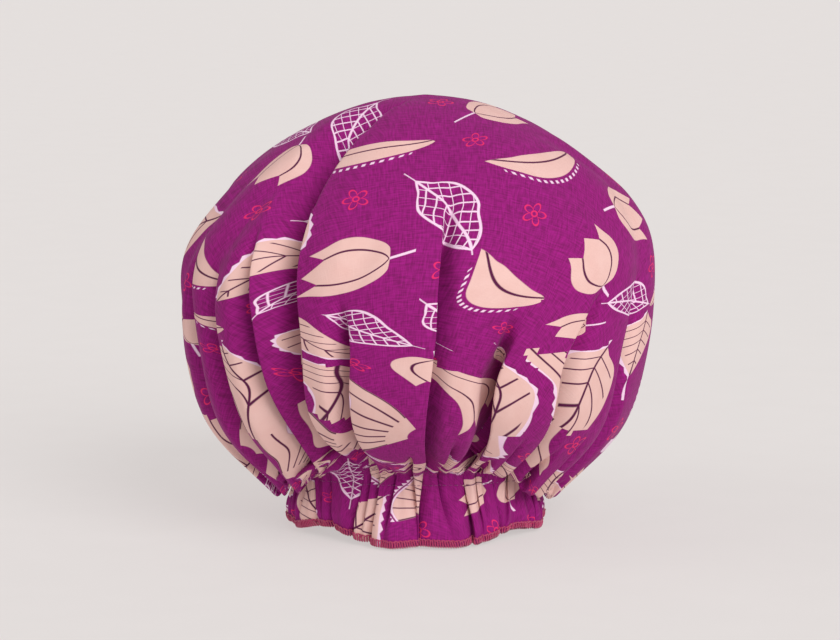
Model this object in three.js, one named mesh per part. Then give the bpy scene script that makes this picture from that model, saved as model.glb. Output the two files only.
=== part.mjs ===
// A cotton shower cap standing on its hem: a full round crown gathered on to an elastic neck,
// with a short ruffle below it. Millimetres, +Z up, the front faces -Y.
// The origin is the middle of the hem, on the surface that the cap stands on.
import * as THREE from "three";
import { mergeGeometries } from "three/addons/utils/BufferGeometryUtils.js";

// Outer sizes of the cap
const CROWN_WIDTH = 236; // over the cloth at the widest height
const WIDEST_HEIGHT = 122;
const CAP_HEIGHT = 217; // hem to the top of the crown
const NECK_WIDTH = 125; // over the gathers, at the elastic
const GATHER_HEIGHT = 30; // middle of the elastic above the hem, at the sides
const FRONT_LIFT = 9; // the elastic rides this much higher at the front, and lower at the back
const HEM_WIDTH = 131; // over the waves of the ruffle's hem

// Cloth, film, tape and thread
const CLOTH = 1.0; // outer cloth, drawn thicker than the real 0.3
const FILM = 0.6; // waterproof lining, drawn thicker than the real 0.15
const TAPE = 0.6; // casing tape
const THREAD = 0.8; // seam thread, across
const CLEARANCE = 0.3; // between pieces that lie against each other
const LINING_GAP = 1; // between cloth and lining, which narrows on the steep sides of the folds

// Elastic and the tunnel that it runs in
const ELASTIC_WIDTH = 8;
const ELASTIC_THICKNESS = 0.9;
const ELASTIC_LAP = 14; // overlap of the two sewn ends
const ELASTIC_CLIMB = 0.5; // share of its length where the outer end starts to climb over the inner one
const TUNNEL_SPACE = 1; // above and below the elastic, before the casing's lips
const JOIN_LENGTH = 8; // zigzag that closes the lap
const JOIN_HEIGHT = 5;
const JOIN_THICKNESS = 0.4;

// Gathers and folds
const GATHER_DEPTH = 6; // ridge to valley at the elastic and at the hem
const FOLD_DEPTH = 16; // ridge to valley of an average fold on the flank
const FOLD_FULL_HEIGHT = 100; // from here up a fold has its own depth
const FOLD_MIDDLE_HEIGHT = 82; // where a fold's middle angle holds
const RIDGE_ANGLE = THREE.MathUtils.degToRad(5); // from a fold's bottom to the cloth that hangs over it
const RIDGE_SHARE = 0.35; // of the way to the next fold, at most
const SHOULDER_ANGLE = THREE.MathUtils.degToRad(6.5); // from a fold's bottom to its gentle shoulder
const SHOULDER_SHARE = 0.6;
const LINING_SLACK = 0.5; // the lining spans a fold instead of lining it all the way

// The folds from the back by the left, the front and the right: angle at its top, half way up and at the
// elastic, in degrees from the front; shares of the crown's height where it starts to fade and where it
// ends; share of FOLD_DEPTH; and the side whose cloth hangs over it, 1 for the right and 0 for none.
const FOLDS = [
  [-176, -176, -176, 0.15, 0.45, 0.3, 0],
  [-144, -145, -147, 0.26, 0.82, 0.55, -1],
  [-129, -127, -126, 0.25, 0.75, 0.55, 1],
  [-117, -106, -108, 0.5, 0.9, 0.85, 1],
  [-105, -85, -88, 0.55, 0.92, 1.05, 1],
  [-72, -67, -71, 0.33, 0.74, 1.1, 1],
  [-56, -54, -57, 0.31, 0.66, 1.05, 1],
  [-44, -41, -45, 0.34, 0.76, 0.9, 1],
  [-42, -29.5, -27.5, 0.6, 0.94, 1.5, 1],
  [-18, -17, -18.5, 0.29, 0.62, 1, 1],
  [7.5, 4.5, 4.5, 0.47, 0.86, 0.55, -1],
  [25, 18.5, 22, 0.28, 0.58, 1.1, 1],
  [49, 38, 40, 0.29, 0.62, 1, -1],
  [68, 60, 62, 0.28, 0.62, 0.85, -1],
  [86, 84, 83, 0.3, 0.66, 0.65, -1],
  [104, 104, 104, 0.2, 0.6, 0.3, 0],
  [121, 122, 123, 0.3, 0.82, 0.6, -1],
  [141, 141, 141, 0.2, 0.6, 0.3, 0],
  [158, 160, 161, 0.26, 0.8, 0.55, -1],
].map(([top, middle, neck, full, reach, depth, side]) => ({ top, middle, neck, full, reach, depth, side }));

// Lower curve of the crown, where slack cloth hangs past the elastic
const NECK_RISE = 6; // straight gathers above the middle of the elastic
const NECK_TURN = 3; // radius of the turn from the gathers into the crown
const NECK_TURN_END = THREE.MathUtils.degToRad(60); // direction from the turn's centre to its end
const SAG_REACH = 20;
const SAG_DROP = 31;
const SIDE_SAG = 7; // the cloth hangs this much lower at the sides and the back than at the front
const SAG_HALF_WIDTH = 14; // of the part of the crown's underside that hangs lower
const FRONT_ANGLE = THREE.MathUtils.degToRad(20); // half of the front, where the cloth comes straight down
const SIDE_ANGLE = THREE.MathUtils.degToRad(65); // from here on the cloth hangs as at the side
const LIFT_END = 190; // height where the lift of the front has died out
const FLANK_RISE = 58; // how far below the widest height the flank starts to turn in

// Overlocked edge of the ruffle
const OVERLOCK_HEIGHT = 3.2; // bite of the edge stitches
const OVERLOCK_THICKNESS = 0.6;

// One column of points in the bottom of each fold, and one on both sides of a fold that cloth hangs over
const COLUMNS = FOLDS.flatMap(({ side }, index) => (
  (side ? [-1, 0, 1] : [0]).map((part) => ({ index, part }))
));
const CLOTH_STEPS = COLUMNS.length;
const CROWN_POINTS = { turn: 1, flank: 4, dome: 5 };
const RUFFLE_POINTS = 4;
const THREAD_SIDES = 6;
const ELASTIC_STEPS = 60;
const JOIN_STEPS = 4;
const ON_AXIS = 1e-6; // a point nearer to the axis than this is on it

const crownRadius = CROWN_WIDTH / 2;
const neckRadius = NECK_WIDTH / 2;
const hemRadius = HEM_WIDTH / 2;
const tunnelHalf = ELASTIC_WIDTH / 2 + TUNNEL_SPACE;
const casingHalf = tunnelHalf + TAPE;

// Radii at the neck, worked inwards from the bottom of the gathers
const tunnelOuter = neckRadius - GATHER_DEPTH - CLOTH - CLEARANCE;
const elasticRise = ELASTIC_THICKNESS + CLEARANCE; // the lapped end climbs over the other
const elasticInner = tunnelOuter - CLEARANCE - elasticRise - ELASTIC_THICKNESS;
const joinInner = elasticInner - CLEARANCE - JOIN_THICKNESS;
const tunnelInner = joinInner - CLEARANCE;
const casingInner = tunnelInner - TAPE;

// Heights of the ruffle
const ruffleBottom = OVERLOCK_THICKNESS + CLEARANCE;
const ruffleTop = GATHER_HEIGHT - CLEARANCE / 2;

const cotton = new THREE.MeshStandardMaterial({ color: "#8f1a80", roughness: 0.85, metalness: 0 });
const film = new THREE.MeshStandardMaterial({ color: "#e9e4e6", roughness: 0.35, metalness: 0 });
const tape = new THREE.MeshStandardMaterial({ color: "#7c1670", roughness: 0.85, metalness: 0 });
const knitElastic = new THREE.MeshStandardMaterial({ color: "#efece6", roughness: 0.9, metalness: 0 });
const purpleThread = new THREE.MeshStandardMaterial({ color: "#7a1268", roughness: 0.7, metalness: 0 });
const crimsonThread = new THREE.MeshStandardMaterial({ color: "#b8135c", roughness: 0.7, metalness: 0 });
const whiteThread = new THREE.MeshStandardMaterial({ color: "#f4f1ec", roughness: 0.7, metalness: 0 });

// A solid of revolution about +Z from [radius, height] points.
function turn(profile, steps = CLOTH_STEPS) {
  const points = profile.map(([radius, height]) => new THREE.Vector2(radius, height));
  return new THREE.LatheGeometry(points, steps).rotateX(Math.PI / 2);
}

// Share of the front lift at a height: none at the hem, all of it at the elastic, fading out above.
function liftShare(height) {
  if (height < GATHER_HEIGHT) return height / GATHER_HEIGHT;
  return 1 - THREE.MathUtils.smoothstep(height, GATHER_HEIGHT, LIFT_END);
}

// Tilts a round piece so that its front rides higher than its back.
function lift(geometry) {
  const place = geometry.getAttribute("position");
  for (let i = 0; i < place.count; i++) {
    const height = place.getZ(i);
    const front = -place.getY(i) / Math.hypot(place.getX(i), place.getY(i));
    place.setZ(i, height + FRONT_LIFT * liftShare(height) * front);
  }
  return geometry;
}

// Angle of a fold's bottom at a height. The folds are counted on past both ends of the list.
function foldAngle(index, height) {
  const turns = Math.floor(index / FOLDS.length);
  const { top, middle, neck, reach } = FOLDS[index - turns * FOLDS.length];
  const end = THREE.MathUtils.lerp(GATHER_HEIGHT, CAP_HEIGHT, reach);
  const upper = THREE.MathUtils.smoothstep(height, FOLD_MIDDLE_HEIGHT, end);
  const lower = 1 - THREE.MathUtils.smoothstep(height, GATHER_HEIGHT + NECK_RISE, FOLD_MIDDLE_HEIGHT);
  const angle = middle + (top - middle) * upper + (neck - middle) * lower;
  return THREE.MathUtils.degToRad(angle) + 2 * Math.PI * turns;
}

// Angle of a column at a height: in the bottom of its fold, on the ridge over it or on its shoulder.
function columnAngle({ index, part }, height) {
  const bottom = foldAngle(index, height);
  const room = Math.abs(foldAngle(index + part, height) - bottom);
  const isRidge = part === FOLDS[index].side;
  const most = isRidge ? RIDGE_ANGLE : SHOULDER_ANGLE;
  return bottom + part * Math.min(most, room * (isRidge ? RIDGE_SHARE : SHOULDER_SHARE));
}

// Depth of a fold at a height.
function foldDepth({ full, reach, depth }, height) {
  const grown = THREE.MathUtils.smoothstep(height, GATHER_HEIGHT + NECK_RISE, FOLD_FULL_HEIGHT);
  const up = (height - GATHER_HEIGHT) / (CAP_HEIGHT - GATHER_HEIGHT);
  const left = 1 - THREE.MathUtils.smoothstep(up, full, reach);
  return left * THREE.MathUtils.lerp(GATHER_DEPTH, FOLD_DEPTH * depth, grown);
}

// Share of the side sag at an angle and a radius of the crown's underside.
function sagShare(angle, radius) {
  const aside = Math.abs(Math.atan2(Math.sin(angle), Math.cos(angle)));
  const near = 1 - Math.abs(radius - neckRadius - SAG_HALF_WIDTH) / SAG_HALF_WIDTH;
  return THREE.MathUtils.smoothstep(aside, FRONT_ANGLE, SIDE_ANGLE) * Math.max(near, 0);
}

// A round piece from [radius, height] points, laid in the folds of the cloth line that it follows, so that
// layers on one line stay clear of each other. Slack is the share of a fold's depth, past that of the
// gathers, by which a layer's ridges and shoulders are pulled in too.
function drape(profile, { line = profile, slack = 0, sag = 0 } = {}) {
  const geometry = turn(profile);
  const place = geometry.getAttribute("position");
  for (let i = 0; i < place.count; i++) {
    const column = COLUMNS[Math.floor(i / profile.length) % CLOTH_STEPS];
    const [radius, height] = profile[i % profile.length];
    const [lineRadius, level] = line[i % profile.length];
    if (radius < ON_AXIS) continue;
    const angle = columnAngle(column, level);
    const depth = foldDepth(FOLDS[column.index], level);
    const far = radius - (column.part ? slack * Math.max(depth - GATHER_DEPTH, 0) : depth);
    const raised = FRONT_LIFT * liftShare(level) * Math.cos(angle) - sag * sagShare(angle, lineRadius);
    place.setXYZ(i, far * Math.sin(angle), -far * Math.cos(angle), height + raised);
  }
  return geometry;
}

// The crown's ridge line from its edge at the neck to the top.
function crownLine(edgeHeight) {
  const turnHeight = GATHER_HEIGHT + NECK_RISE;
  const turnX = neckRadius + NECK_TURN;
  const neckTurn = new THREE.EllipseCurve(
    turnX, turnHeight, NECK_TURN, NECK_TURN, Math.PI, NECK_TURN_END, true,
  );
  const flank = new THREE.CubicBezierCurve(
    neckTurn.getPoint(1),
    new THREE.Vector2(neckRadius + SAG_REACH, turnHeight - SAG_DROP),
    new THREE.Vector2(crownRadius, WIDEST_HEIGHT - FLANK_RISE),
    new THREE.Vector2(crownRadius, WIDEST_HEIGHT),
  );
  const domeRise = CAP_HEIGHT - WIDEST_HEIGHT;
  const dome = new THREE.EllipseCurve(0, WIDEST_HEIGHT, crownRadius, domeRise, 0, Math.PI / 2);
  return [
    new THREE.Vector2(neckRadius, edgeHeight),
    ...neckTurn.getPoints(CROWN_POINTS.turn),
    ...flank.getPoints(CROWN_POINTS.flank).slice(1),
    ...dome.getPoints(CROWN_POINTS.dome).slice(1),
  ];
}

// The same line moved towards the inside of the crown.
function inset(points, depth) {
  return points.map((point, i) => {
    if (i === points.length - 1) return new THREE.Vector2(0, point.y - depth);
    const before = points[Math.max(i - 1, 0)];
    const along = points[i + 1].clone().sub(before).normalize();
    return new THREE.Vector2(point.x - along.y * depth, point.y + along.x * depth);
  });
}

// Turns a surface to face the other way.
function flip(geometry) {
  const corners = geometry.getIndex();
  for (let i = 0; i < corners.count; i += 3) {
    const second = corners.getX(i + 1);
    corners.setX(i + 1, corners.getX(i + 2));
    corners.setX(i + 2, second);
  }
  return geometry;
}

// A dome of cloth between two depths under the crown's ridge line, starting at a height on the neck.
// Both faces are turned from the neck up, so that their triangles lie alike and the wall stays even.
function domeShell(edgeHeight, outerDepth, innerDepth, slack) {
  const ridge = crownLine(edgeHeight);
  const line = ridge.map((point) => [point.x, point.y]);
  const [outside, inside] = [outerDepth, innerDepth].map((depth) => {
    const points = inset(ridge, depth);
    points[0].y = edgeHeight;
    return points.map((point) => [point.x, point.y]);
  });
  const laid = { line, slack, sag: SIDE_SAG };
  const edge = drape([inside[0], outside[0]], { ...laid, line: [line[0], line[0]] });
  return mergeGeometries([drape(outside, laid), flip(drape(inside, laid)), edge]);
}

// Outer radius of the ruffle's ridges at a height.
function ruffleRadius(height) {
  return THREE.MathUtils.lerp(hemRadius, neckRadius, height / GATHER_HEIGHT);
}

function ruffle() {
  const outside = [];
  for (let i = 0; i <= RUFFLE_POINTS; i++) {
    const height = THREE.MathUtils.lerp(ruffleBottom, ruffleTop, i / RUFFLE_POINTS);
    outside.push([ruffleRadius(height), height]);
  }
  const inside = outside.map(([radius, height]) => [radius - CLOTH, height]).reverse();
  return drape([...outside, ...inside, outside[0]]);
}

// Thread wrapped round the ruffle's raw edge: a channel section whose flat bottom is the cap's foot.
function overlock() {
  const edge = (height) => ruffleRadius(height) + CLEARANCE + OVERLOCK_THICKNESS;
  const wall = 2 * (CLEARANCE + OVERLOCK_THICKNESS) + CLOTH;
  const top = OVERLOCK_HEIGHT;
  const floor = OVERLOCK_THICKNESS;
  const foot = edge(ruffleBottom);
  return drape([
    [foot, 0],
    [foot, ruffleBottom],
    [edge(top), top],
    [edge(top) - OVERLOCK_THICKNESS, top],
    [foot - OVERLOCK_THICKNESS, floor],
    [foot - wall + OVERLOCK_THICKNESS, floor],
    [edge(top) - wall + OVERLOCK_THICKNESS, top],
    [edge(top) - wall, top],
    [foot - wall, ruffleBottom],
    [foot - wall, 0],
    [foot, 0],
  ]);
}

// A row of seam thread that follows the gathers at a height, clear of the cloth under it.
function seam(height) {
  const steps = COLUMNS.filter(({ part }) => part).map((column) => (
    Math.abs(columnAngle(column, height) - foldAngle(column.index, height))
  ));
  const slope = GATHER_DEPTH / (neckRadius * Math.min(...steps));
  const stand = (CLEARANCE + THREAD / 2) * Math.hypot(1, slope);
  const middle = Math.max(neckRadius, ruffleRadius(height)) + stand;
  const profile = [];
  for (let i = 0; i <= THREAD_SIDES; i++) {
    const angle = (2 * Math.PI * (i % THREAD_SIDES)) / THREAD_SIDES;
    profile.push([middle + (THREAD / 2) * Math.cos(angle), height + (THREAD / 2) * Math.sin(angle)]);
  }
  return drape(profile);
}

// Tape sewn inside the neck: a channel that opens outwards, against the cloth.
function casing() {
  const low = GATHER_HEIGHT - casingHalf;
  const high = GATHER_HEIGHT + casingHalf;
  return lift(turn([
    [casingInner, low],
    [tunnelOuter, low],
    [tunnelOuter, low + TAPE],
    [tunnelInner, low + TAPE],
    [tunnelInner, high - TAPE],
    [tunnelOuter, high - TAPE],
    [tunnelOuter, high],
    [casingInner, high],
    [casingInner, low],
  ]));
}

// A flat strip on edge that goes round once and laps over its own start, at the back.
function elastic() {
  const lapAngle = ELASTIC_LAP / elasticInner;
  const sweep = 2 * Math.PI + lapAngle;
  const start = Math.PI / 2 - lapAngle / 2;
  const inner = [];
  const outer = [];
  for (let i = 0; i <= ELASTIC_STEPS; i++) {
    const angle = start + (sweep * i) / ELASTIC_STEPS;
    const climb = THREE.MathUtils.smoothstep(i / ELASTIC_STEPS, ELASTIC_CLIMB, (2 * Math.PI) / sweep);
    const radius = elasticInner + elasticRise * climb;
    inner.push(new THREE.Vector2(radius * Math.cos(angle), radius * Math.sin(angle)));
    const far = radius + ELASTIC_THICKNESS;
    outer.push(new THREE.Vector2(far * Math.cos(angle), far * Math.sin(angle)));
  }
  const strip = new THREE.Shape([...outer, ...inner.reverse()]);
  const geometry = new THREE.ExtrudeGeometry(strip, { depth: ELASTIC_WIDTH, bevelEnabled: false });
  return lift(geometry.translate(0, 0, GATHER_HEIGHT - ELASTIC_WIDTH / 2));
}

// Zigzag stitching over the lap, on the inner face of the elastic.
function elasticJoin() {
  const halfAngle = JOIN_LENGTH / 2 / joinInner;
  const middle = Math.PI / 2;
  const patch = new THREE.Shape();
  patch.absarc(0, 0, joinInner + JOIN_THICKNESS, middle - halfAngle, middle + halfAngle, false);
  patch.absarc(0, 0, joinInner, middle + halfAngle, middle - halfAngle, true);
  const geometry = new THREE.ExtrudeGeometry(patch, {
    depth: JOIN_HEIGHT, bevelEnabled: false, curveSegments: JOIN_STEPS,
  });
  return lift(geometry.translate(0, 0, GATHER_HEIGHT - JOIN_HEIGHT / 2));
}

function piece(name, geometry, material) {
  const mesh = new THREE.Mesh(geometry, material);
  mesh.name = name;
  return mesh;
}

const liningEdge = GATHER_HEIGHT + casingHalf + CLEARANCE;
const liningOutside = CLOTH + LINING_GAP;
const cap = new THREE.Group();
cap.add(
  piece("crown_cloth", domeShell(GATHER_HEIGHT + CLEARANCE / 2, 0, CLOTH, 0), cotton),
  piece("waterproof_lining", domeShell(liningEdge, liningOutside, liningOutside + FILM, LINING_SLACK), film),
  piece("ruffle", ruffle(), cotton),
  piece("hem_overlock", overlock(), crimsonThread),
  piece("casing_tape", casing(), tape),
  piece("casing_seam_upper", seam(GATHER_HEIGHT + tunnelHalf), purpleThread),
  piece("casing_seam_lower", seam(GATHER_HEIGHT - tunnelHalf), purpleThread),
  piece("elastic_band", elastic(), knitElastic),
  piece("elastic_join", elasticJoin(), whiteThread),
);

export default cap;
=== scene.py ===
# %% [markdown]
# # A gathered cotton shower cap
# The cap is a round of printed cotton with a thin waterproof film inside it. An elastic in a
# sewn casing draws the rim together, and the cloth below the casing stands out as a ruffle.
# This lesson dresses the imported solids: it keeps their place and size, and puts real cloth,
# film, tape and thread in their stead. Lengths are in millimetres until a mesh is made.

# %% Load the solids as the frame
import math

import bpy
import numpy as np
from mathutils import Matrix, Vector


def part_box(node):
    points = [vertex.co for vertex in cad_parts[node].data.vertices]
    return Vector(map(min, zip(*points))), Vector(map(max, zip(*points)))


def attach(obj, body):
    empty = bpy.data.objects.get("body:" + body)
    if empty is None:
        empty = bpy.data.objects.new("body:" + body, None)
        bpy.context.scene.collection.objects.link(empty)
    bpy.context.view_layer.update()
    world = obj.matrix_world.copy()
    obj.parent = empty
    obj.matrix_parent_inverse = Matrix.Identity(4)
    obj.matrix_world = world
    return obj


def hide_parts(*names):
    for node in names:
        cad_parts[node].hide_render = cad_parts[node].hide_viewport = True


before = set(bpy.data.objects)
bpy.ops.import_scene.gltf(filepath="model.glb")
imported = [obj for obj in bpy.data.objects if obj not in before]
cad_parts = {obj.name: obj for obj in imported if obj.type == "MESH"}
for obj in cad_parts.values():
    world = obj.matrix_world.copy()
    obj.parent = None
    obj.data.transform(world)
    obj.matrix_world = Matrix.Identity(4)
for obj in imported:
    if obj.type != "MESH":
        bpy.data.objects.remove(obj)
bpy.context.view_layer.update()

MM = 0.001
scene = bpy.context.scene

# %% [markdown]
# ## Small helpers
# Colours are written as sRGB hex values, as a paint chart gives them, and turned to linear
# light in one place. One function adds a shader node with its settings and links, and one makes
# a mesh object. The smooth step `ease` blends most of the shapes below.

# %% Helpers for colour, nodes and meshes
def linear(code):
    """Linear RGBA of an sRGB hex colour."""
    channels = [int(code[k:k + 2], 16) / 255 for k in (1, 3, 5)]
    return [c / 12.92 if c <= 0.04045 else ((c + 0.055) / 1.055) ** 2.4 for c in channels] + [1.0]


def node(tree, kind, *values, out=0, sockets=None, **settings):
    """Adds a node with its settings and links, and returns one of its outputs."""
    made = tree.nodes.new("ShaderNode" + kind)
    for name, value in settings.items():
        setattr(made, name, value)
    for key, value in (dict(enumerate(values)) | (sockets or {})).items():
        if isinstance(value, bpy.types.NodeSocket):
            tree.links.new(value, made.inputs[key])
        else:
            made.inputs[key].default_value = value
    return made.outputs[out] if made.outputs else None


def new_material(name):
    """An empty node material and its tree."""
    material = bpy.data.materials.new(name)
    material.use_nodes = True
    material.node_tree.nodes.clear()
    return material, material.node_tree


def piece(name, points, faces, material=None):
    """A smooth-shaded mesh object from points in millimetres."""
    mesh = bpy.data.meshes.new(name)
    mesh.from_pydata((np.asarray(points) * MM).tolist(), [], faces)
    mesh.shade_smooth()
    if material:
        mesh.materials.append(material)
    made = bpy.data.objects.new(name, mesh)
    scene.collection.objects.link(made)
    return made


def ease(value, low, high):
    """0 below low, 1 above high and a smooth rise between them."""
    t = np.clip((value - low) / (high - low), 0, 1)
    return t * t * (3 - 2 * t)


print("the grey #808080 is", round(linear("#808080")[0], 3), "in linear light")

# %% [markdown]
# ## Camera, floor and light
# The photo looks slightly down on the cap, from about nine degrees above the table, with a
# long lens. The set is a pale table that glows a little from below, as a light table does, so
# shadows are faint. A broad soft light stands at the front right and a weaker one at the left.
# A flat floor that runs far back needs no backdrop and hides nothing from the other sides.
# A noise without a map of its own is spread over the whole piece, so its scale is the width of
# the piece divided by the width of one mark.

# %% Place the camera
ELEVATION = math.radians(9)
CAMERA_DISTANCE = 1.5
FOCAL_LENGTH = 128.6
AIM = Vector((0.002, 0, 0.103))

lens = bpy.data.cameras.new("camera")
lens.lens = FOCAL_LENGTH
camera = bpy.data.objects.new("camera", lens)
to_camera = Vector((0, -math.cos(ELEVATION), math.sin(ELEVATION)))
camera.location = AIM + to_camera * CAMERA_DISTANCE
camera.rotation_euler = to_camera.to_track_quat("Z", "Y").to_euler()
scene.collection.objects.link(camera)
scene.camera = camera
scene.view_settings.view_transform = "Standard"
print("camera at", [round(place, 3) for place in camera.location])

# %% Lay the floor
FLOOR_REACH = 15.0
FLOOR_MOTTLE = 100 / 3  # mm, far coarser than real, so that the sheet is not dead flat
FLOOR_GLOW = 0.62

# opal acrylic, cast and sanded: matt and evenly bright, with a mottle that is barely seen
table, tree = new_material("opal_acrylic_light_table")
mottles = 2 * FLOOR_REACH / MM / FLOOR_MOTTLE
mottle = node(tree, "TexNoise", sockets={"Scale": mottles, "Detail": 3.0})
opal = node(tree, "Mix", sockets={0: mottle, 6: linear("#848281"), 7: linear("#8a8887")},
            data_type="RGBA", out=2)
skin = node(tree, "BsdfPrincipled", sockets={
    "Base Color": opal, "Roughness": 0.9,
    "Emission Color": linear("#eee8e6"), "Emission Strength": FLOOR_GLOW})
node(tree, "OutputMaterial", skin)

reach = FLOOR_REACH / MM
floor_corners = [(-reach, -reach, 0), (reach, -reach, 0), (reach, reach, 0), (-reach, reach, 0)]
floor = piece("floor", floor_corners, [(0, 1, 2, 3)], table)
print("floor", 2 * FLOOR_REACH, "m wide")

# %% Hang the lights
ROOM_LIGHT = 0.5
SOFT_BOX = math.radians(40)
# where each light stands, seen from the cap, and its strength
LIGHTS = {"key": ((0.5, -0.75, 0.6), 2.1), "side": ((-0.85, -0.15, 0.6), 0.4)}

room = bpy.data.worlds.new("soft_room")
room.use_nodes = True
background = room.node_tree.nodes["Background"]
background.inputs["Color"].default_value = linear("#f4f0ee")
background.inputs["Strength"].default_value = ROOM_LIGHT
scene.world = room
for name, (stands, power) in LIGHTS.items():
    lamp = bpy.data.lights.new(name, "SUN")
    lamp.angle = SOFT_BOX
    lamp.energy = power
    hung = bpy.data.objects.new(name, lamp)
    hung.rotation_euler = Vector(stands).to_track_quat("Z", "Y").to_euler()
    scene.collection.objects.link(hung)
print("lights:", ", ".join(LIGHTS))

# %% [markdown]
# ## The shape of the cap
# Think of one thread of the cloth from the top of the cap to the hem. At the sides it swells
# out, hangs below the elastic and turns back up to it. At the front it slants straight down to
# the elastic. The cap is a stack of rings along that thread, mixed between the two lines. A
# turned profile would be quicker to make, but here every ring needs folds of its own.

# %% Draw the meridians, as radius and height
SIDE_LINE = [(0, 217), (26, 212.5), (50, 204), (72.5, 191.5), (91, 177), (104.5, 162), (114, 147),
             (118, 131), (118.5, 112), (117, 96), (114, 80), (110, 64), (104, 50.5), (95.5, 39),
             (85, 28), (76, 18.5), (70.5, 12.5), (67, 15), (65, 22), (63, 28.5), (61.5, 27)]
FRONT_LINE = SIDE_LINE[:11] + [(108, 64.5), (100.5, 53.5), (92, 45), (84, 39), (77, 34.5),
                               (72, 31.5), (68, 29.3), (65, 27.9), (62.8, 27.2), (61.5, 27)]
RUFFLE_LINE = [(61.5, 27), (63.2, 18.5), (66.5, 9), (65.8, 1)]
RING_STEP = 3.5
CURVE_SAMPLES = 40
SMOOTHINGS = 3


def through(points, at):
    """Points on a Catmull-Rom curve through the given ones, at places counted in those points."""
    given = np.array(points, float)
    given = np.vstack([2 * given[0] - given[1], given, 2 * given[-1] - given[-2]])
    left = np.clip(np.floor(at).astype(int), 0, len(points) - 2)
    t = (at - left)[:, None]
    a, b, c, d = (given[left + k] for k in range(4))
    return 0.5 * (2 * b + (c - a) * t + (2 * a - 5 * b + 4 * c - d) * t ** 2
                  + (3 * b - a - 3 * c + d) * t ** 3)


def even_places(points, step):
    """Places along the curve that lie an even step apart, and the curve's length."""
    fine = np.linspace(0, len(points) - 1, CURVE_SAMPLES * len(points))
    strides = np.linalg.norm(np.diff(through(points, fine), axis=0), axis=1)
    length = np.concatenate([[0], np.cumsum(strides)])
    even = np.linspace(0, length[-1], round(length[-1] / step) + 1)
    return np.interp(even, length, fine), length[-1]


def outward(line):
    """Smoothed normals of a meridian, which point out of the cap."""
    along = np.gradient(line, axis=0)
    normal = np.stack([-along[:, 1], along[:, 0]], 1)
    for _ in range(SMOOTHINGS):
        normal[1:-1] = (normal[:-2] + 2 * normal[1:-1] + normal[2:]) / 4
    normal[0] = (0, 1)
    return normal / np.linalg.norm(normal, axis=1)[:, None]


crown_places, crown_length = even_places(SIDE_LINE, RING_STEP)
ruffle_places, ruffle_length = even_places(RUFFLE_LINE, RING_STEP)
ruffle = through(RUFFLE_LINE, ruffle_places)[1:]
side = np.vstack([through(SIDE_LINE, crown_places), ruffle])
front = np.vstack([through(FRONT_LINE, crown_places), ruffle])
side_out = outward(side)
front_out = outward(front)
run = np.concatenate([[0], np.cumsum(np.linalg.norm(np.diff(side, axis=0), axis=1))])
neck = len(crown_places) - 1
print(len(run), "rings; crown", round(crown_length), "and ruffle", round(ruffle_length), "mm long")

# %% [markdown]
# ## Folds
# The elastic takes up more than half of the rim, and the spare cloth has to go somewhere. It
# tucks into creases that run up from the elastic and fade out on the crown. Each long crease is
# laid one by one: where it starts, where it runs, how deep it tucks and to which side it leans, so
# that one panel hangs over the next. The deep one left of the front reaches the top.

# %% Lay the long creases
# azimuth in degrees at its start, at the middle and at the neck; where it starts and where it is
# full, in mm from the top; depth in mm and lean; depth and width in mm of the hollow beside it
CREASES = [
    (-163, -163, -163, 150, 240, 10, 0.4, 4, 9),
    (-143, -145, -147, 95, 220, 12, -0.8, 9, 11),
    (-128, -127, -126, 110, 225, 11, 0.8, 9, 11),
    (-118, -106, -108, 45, 190, 13, 1.2, 14, 12),
    (-108, -85, -88, 50, 190, 14, 1.3, 17, 12),
    (-72, -67, -71, 120, 200, 15, 1.4, 18, 12),
    (-59, -54, -57, 140, 205, 16, 1.5, 19, 12),
    (-49, -41, -45, 110, 200, 16, 1.5, 18, 11),
    (-42, -29.5, -27.5, 0, 100, 24, 1.7, 34, 26),
    (-18, -17, -18.5, 150, 212, 15, 1.6, 17, 10),
    (7.5, 4.5, 4.5, 84, 180, 13, -1.6, 9, 7),
    (24, 18.5, 22, 158, 220, 15, 1.6, 17, 10),
    (49, 38, 40, 150, 212, 16, -1.6, 15, 9),
    (68, 60, 62, 150, 215, 14, -1.4, 12, 9),
    (86, 84, 83, 140, 210, 12, -1.2, 10, 10),
    (104, 104, 104, 150, 230, 11, 0.6, 4, 9),
    (121, 122, 123, 95, 205, 13, -1.0, 10, 11),
    (141, 141, 141, 140, 230, 11, 0.6, 4, 9),
    (158, 160, 161, 100, 215, 12, -0.8, 9, 11),
    (179, 179, 179, 150, 230, 11, 0.6, 4, 9),
]
print(len(CREASES), "long creases, the deepest tucks in", max(row[5] for row in CREASES), "mm")

# %% [markdown]
# Short creases fill the gaps close to the elastic. They follow the paths of the two long ones
# beside them, and chance picks their height, depth and lean. The chance is seeded, so that the
# cap comes out the same in every run. In the ruffle every second long crease stays a deep gap.

# %% Fill the gaps with short creases
COLUMNS = 640
LONG_COLUMNS = 10
SHORT_COLUMNS = 5
LONG_WIDTH = 6.5
SHORT_ROOM = 5.6
SHORT_RISES = (30, 85)
SHORT_DEPTHS = (6, 10)
SHORT_HOLLOW = (3, 7)
RUFFLE_KEEPS = (1.0, 0.35)
FOLD_SEED = 11

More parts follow.
